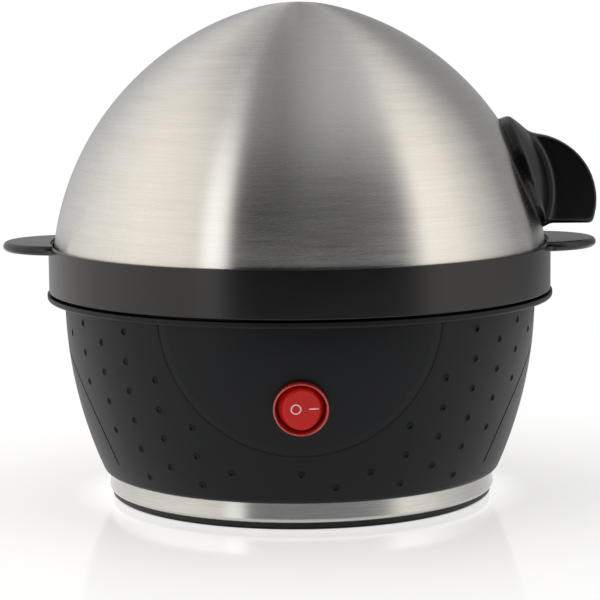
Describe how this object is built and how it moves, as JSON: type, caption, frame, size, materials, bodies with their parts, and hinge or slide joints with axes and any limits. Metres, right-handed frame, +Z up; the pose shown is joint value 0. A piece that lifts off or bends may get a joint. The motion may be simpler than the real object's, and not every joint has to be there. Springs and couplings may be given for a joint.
{
  "type": "electric egg cooker",
  "caption": "Electric egg cooker: brushed steel dome lid with a side fin handle on a black egg tray with two tabs, over a black heated base with a red rocker switch.",
  "frame": {"origin": "on the table under the middle of the base", "axes": "+Z up, the switch faces -Y, the lid's handle points along +X"},
  "size_m": [0.1894, 0.1612, 0.1568],
  "materials": {
    "brushed_lid": "brushed round the axis",
    "gloss_black": "polished",
    "satin_black": "satin",
    "base_black": "fine grain",
    "brushed_ring": "brushed round the axis",
    "zinc_steel": "zinc plated",
    "foot_rubber": "matt",
    "pan_steel": "satin",
    "seal_silicone": "matt",
    "cast_aluminium": "cast",
    "element_sheath": "drawn tube",
    "terminal_brass": "bright",
    "ivory_resin": "moulded",
    "switch_red": "moulded",
    "rocker_red": "moulded",
    "lamp_glass": "clear",
    "lead_brown": "insulation",
    "lead_black": "insulation",
    "lead_blue": "insulation"
  },
  "bodies": {
    "base": {"housing": "satin_black", "steel_ring": "brushed_ring", "base_plate": "base_black", "base_screws": "zinc_steel", "rubber_feet": "foot_rubber", "heating_pan": "pan_steel", "pan_seal": "seal_silicone", "pan_brackets": "zinc_steel", "bracket_screws": "zinc_steel", "pan_nuts": "zinc_steel", "heat_spreader": "cast_aluminium", "heating_element": "element_sheath", "element_terminals": "terminal_brass", "thermostat": "ivory_resin", "thermostat_clamp": "zinc_steel", "thermostat_screws": "zinc_steel", "thermal_fuse": "zinc_steel", "fuse_clip": "cast_aluminium", "switch_case": "switch_red", "switch_lamp": "lamp_glass", "switch_terminals": "terminal_brass", "cord_grommet": "foot_rubber", "terminal_block": "ivory_resin", "terminal_screws": "terminal_brass", "block_screw": "zinc_steel", "lead_live": "lead_brown", "lead_switched": "lead_black", "lead_heater": "lead_black", "lead_neutral": "lead_blue", "lead_lamp": "lead_blue"},
    "tray": {"egg_tray": "gloss_black"},
    "lid": {"lid_dome": "brushed_lid", "lid_handle": "gloss_black", "handle_screws": "zinc_steel", "handle_washers": "zinc_steel"},
    "rocker": {"switch_rocker": "rocker_red"}
  },
  "joints": [
    {"name": "tray_lift", "type": "slide", "parent": "base", "child": "tray", "axis": [0, 0, 1], "range_m": [0, 0.06]},
    {"name": "lid_lift", "type": "slide", "parent": "tray", "child": "lid", "axis": [0, 0, 1], "range_m": [0, 0.12]},
    {"name": "switch_rock", "type": "hinge", "parent": "base", "child": "rocker", "pos_m": [0, -0.07178, 0.03975], "axis": [0, 0.1794, -0.9838], "range_deg": [0, 14]}
  ]
}
